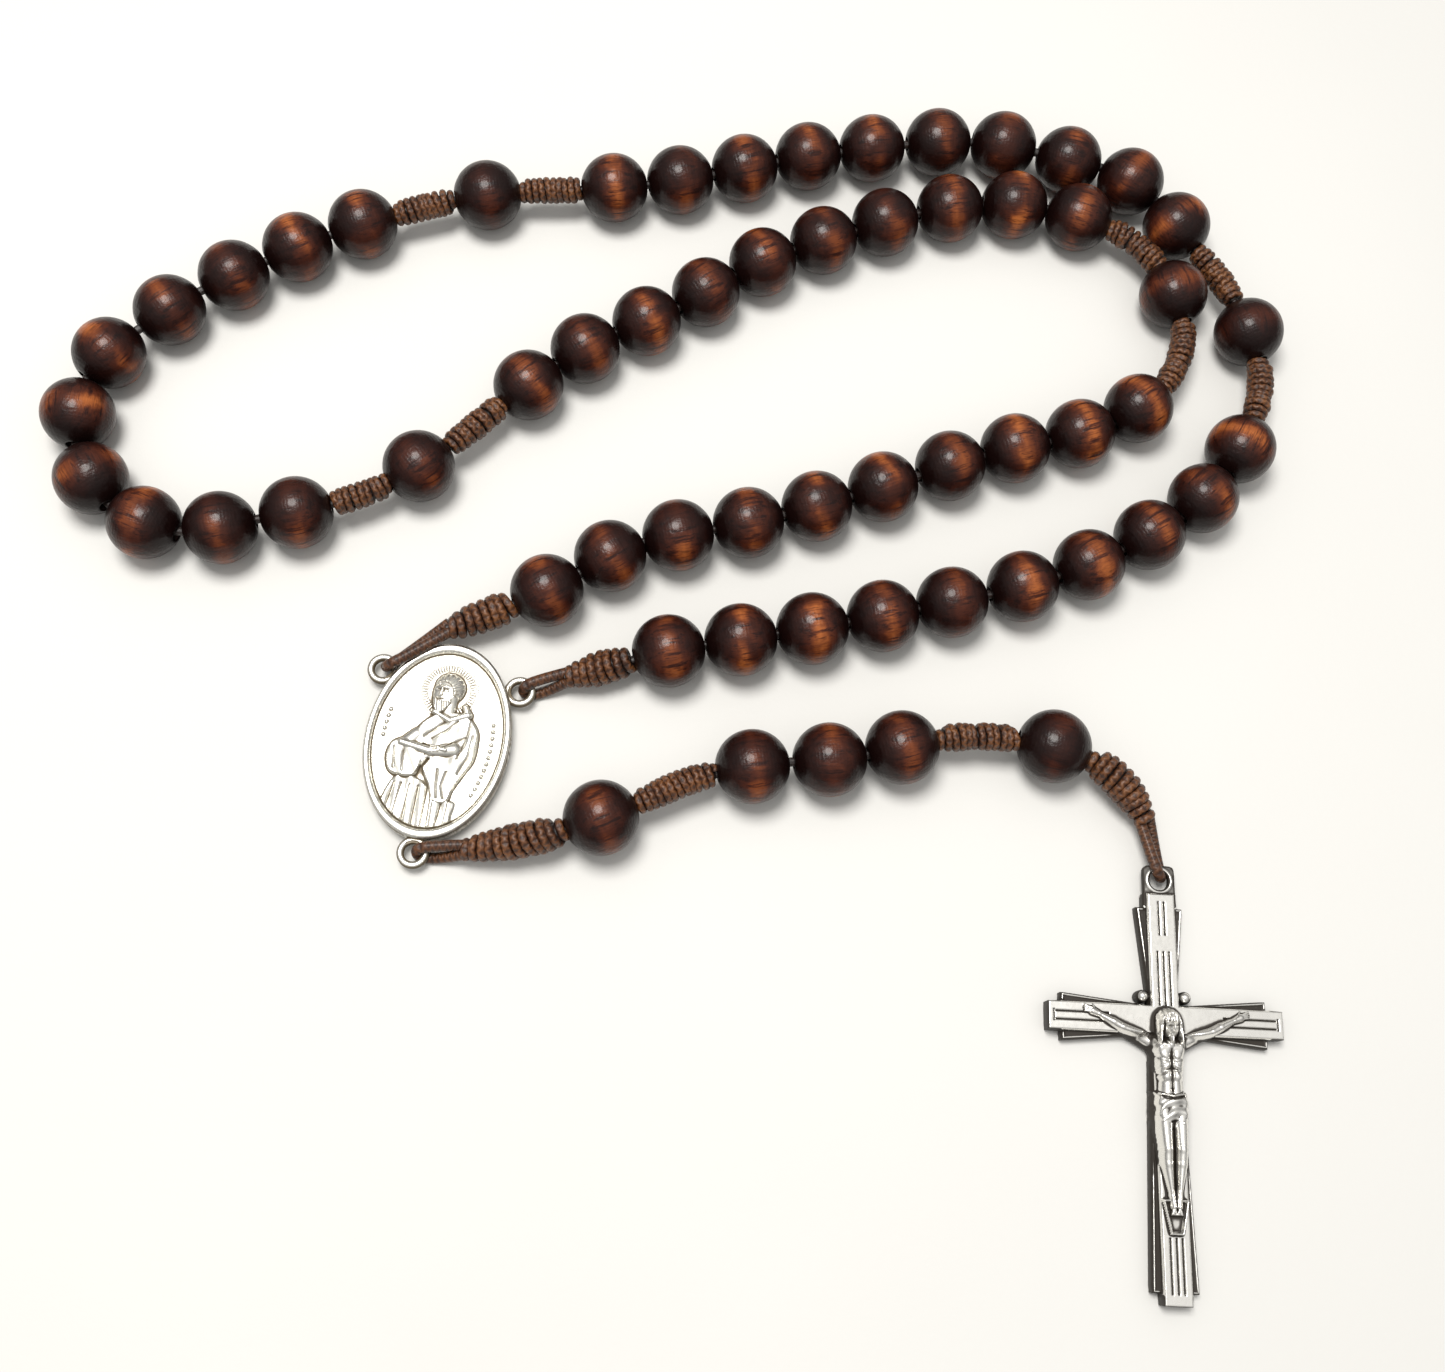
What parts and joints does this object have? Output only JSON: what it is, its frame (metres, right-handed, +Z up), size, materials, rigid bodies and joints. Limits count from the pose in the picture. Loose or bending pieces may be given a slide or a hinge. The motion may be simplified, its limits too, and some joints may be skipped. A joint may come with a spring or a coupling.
{
  "type": "rosary",
  "caption": "Rosary of round dark wooden beads and barrel knots on a braided cord, with an oval centre medal and a metal crucifix, laid out flat in a folded loop.",
  "frame": {"origin": "middle of the laid-out rosary's bounding box, on the surface it lies on", "axes": "+X to the right along the longest spread, +Y towards the far side of the loop, +Z up from the surface"},
  "size_m": [0.1426, 0.1373, 0.008],
  "materials": {
    "bead_wood": "polished dark hardwood, near black at the bored ends with a red-brown sheen round the middle",
    "cord": "golden-brown braided cord",
    "knot_cord": "golden-brown cord wound in tight turns",
    "medal_metal": "bright silver-coloured cast metal with dark recesses",
    "crucifix_metal": "antiqued silver-coloured cast metal, darker in the grooves"
  },
  "bodies": {
    "loop_right": {"loop_cord_2": "cord", "loop_cord_6": "cord", "decade_1_beads_b": "bead_wood", "decade_2_beads_a": "bead_wood", "decade_4_beads_b": "bead_wood", "decade_5_beads_a": "bead_wood", "knot_1a": "knot_cord", "knot_1b": "knot_cord", "knot_4a": "knot_cord", "knot_4b": "knot_cord"},
    "loop_lower_left": {"loop_cord_1": "cord", "loop_cord_7": "cord", "decade_1_beads_a": "bead_wood", "decade_5_beads_b": "bead_wood", "end_knot_left": "knot_cord", "end_knot_right": "knot_cord", "ear_link_left": "cord", "ear_link_right": "cord"},
    "loop_upper_left": {"loop_cord_3": "cord", "loop_cord_5": "cord", "decade_2_beads_b": "bead_wood", "decade_3_beads_a": "bead_wood", "decade_3_beads_c": "bead_wood", "decade_4_beads_a": "bead_wood", "knot_2a": "knot_cord", "knot_2b": "knot_cord", "knot_3a": "knot_cord", "knot_3b": "knot_cord"},
    "loop_lobe": {"loop_cord_4": "cord", "decade_3_beads_b": "bead_wood"},
    "medal": {"centre_medal": "medal_metal"},
    "pendant_upper": {"ear_link_pendant": "cord", "end_knot_pendant": "knot_cord", "pendant_cord_1": "cord", "knot_5": "knot_cord"},
    "pendant_lower": {"pendant_cord_2": "cord", "knot_6": "knot_cord"},
    "crucifix_tie": {"end_knot_crucifix": "knot_cord", "eye_link_crucifix": "cord"},
    "crucifix": {"crucifix": "crucifix_metal"},
    "our_father_bead_1_body": {"our_father_bead_1": "bead_wood"},
    "our_father_bead_2_body": {"our_father_bead_2": "bead_wood"},
    "our_father_bead_3_body": {"our_father_bead_3": "bead_wood"},
    "our_father_bead_4_body": {"our_father_bead_4": "bead_wood"},
    "our_father_bead_5_body": {"our_father_bead_5": "bead_wood"},
    "hail_mary_bead_1_body": {"hail_mary_bead_1": "bead_wood"},
    "hail_mary_bead_2_body": {"hail_mary_bead_2": "bead_wood"},
    "hail_mary_bead_3_body": {"hail_mary_bead_3": "bead_wood"},
    "our_father_bead_6_body": {"our_father_bead_6": "bead_wood"}
  },
  "joints": [
    {"name": "lower_fold", "type": "hinge", "parent": "loop_right", "child": "loop_lower_left", "pos_m": [0.0304, 0.01225, 0.004], "axis": [-0.4596, 0.8881, 0], "range_deg": [0, 25]},
    {"name": "upper_fold", "type": "hinge", "parent": "loop_right", "child": "loop_upper_left", "pos_m": [0.02755, 0.0592, 0.004], "axis": [-0.1115, 0.9938, 0], "range_deg": [0, 25]},
    {"name": "lobe_fold", "type": "hinge", "parent": "loop_upper_left", "child": "loop_lobe", "pos_m": [-0.05085, 0.02635, 0.004], "axis": [-0.3061, 0.952, 0], "range_deg": [0, 25]},
    {"name": "medal_swing", "type": "hinge", "parent": "loop_lower_left", "child": "medal", "pos_m": [-0.02343, -0.00462, 0.0014], "axis": [-0.9846, 0.1746, 0], "range_deg": [0, 50], "deforming": ["ear_link_left", "ear_link_right"]},
    {"name": "pendant_turn", "type": "hinge", "parent": "medal", "child": "pendant_upper", "pos_m": [-0.02762, -0.02415, 0.0014], "axis": [0, 0, 1], "range_deg": [-60, 0]},
    {"name": "pendant_fold", "type": "hinge", "parent": "pendant_upper", "child": "pendant_lower", "pos_m": [0.0119, -0.0144, 0.004], "axis": [0.0948, -0.9955, 0], "range_deg": [0, 20]},
    {"name": "tie_turn", "type": "hinge", "parent": "pendant_lower", "child": "crucifix_tie", "pos_m": [0.0444, -0.0132, 0.004], "axis": [0, 0, 1], "range_deg": [-12, 12]},
    {"name": "crucifix_swing", "type": "hinge", "parent": "crucifix_tie", "child": "crucifix", "pos_m": [0.05141, -0.0249, 0.0015], "axis": [-0.999, 0.0436, 0], "range_deg": [0, 75], "deforming": ["eye_link_crucifix"]},
    {"name": "spin_hail_mary_bead_1", "type": "hinge", "parent": "pendant_upper", "child": "hail_mary_bead_1_body", "pos_m": [0.00779, -0.01496, 0.004], "axis": [-0.989, -0.1478, 0], "continuous": true},
    {"name": "spin_hail_mary_bead_2", "type": "hinge", "parent": "pendant_lower", "child": "hail_mary_bead_2_body", "pos_m": [0.01604, -0.01408, 0.004], "axis": [-0.9956, -0.0932, 0], "continuous": true},
    {"name": "spin_hail_mary_bead_3", "type": "hinge", "parent": "pendant_lower", "child": "hail_mary_bead_3_body", "pos_m": [0.02389, -0.01259, 0.004], "axis": [-0.9663, -0.2575, 0], "continuous": true},
    {"name": "spin_our_father_bead_1", "type": "hinge", "parent": "loop_right", "child": "our_father_bead_1_body", "pos_m": [0.05867, 0.04425, 0.004], "axis": [0.2791, -0.9603, 0], "continuous": true},
    {"name": "spin_our_father_bead_2", "type": "hinge", "parent": "loop_upper_left", "child": "our_father_bead_2_body", "pos_m": [-0.02929, 0.01907, 0.004], "axis": [0.7949, 0.6067, 0], "continuous": true},
    {"name": "spin_our_father_bead_3", "type": "hinge", "parent": "loop_upper_left", "child": "our_father_bead_3_body", "pos_m": [-0.02335, 0.05474, 0.004], "axis": [-0.9788, -0.205, 0], "continuous": true},
    {"name": "spin_our_father_bead_4", "type": "hinge", "parent": "loop_right", "child": "our_father_bead_4_body", "pos_m": [0.06735, 0.03944, 0.004], "axis": [-0.2587, 0.966, 0], "continuous": true},
    {"name": "spin_our_father_bead_5", "type": "hinge", "parent": "pendant_upper", "child": "our_father_bead_5_body", "pos_m": [-0.00808, -0.02072, 0.004], "axis": [-0.9237, -0.383, 0], "continuous": true},
    {"name": "spin_our_father_bead_6", "type": "hinge", "parent": "pendant_lower", "child": "our_father_bead_6_body", "pos_m": [0.04037, -0.01221, 0.004], "axis": [-0.975, 0.2224, 0], "continuous": true}
  ]
}
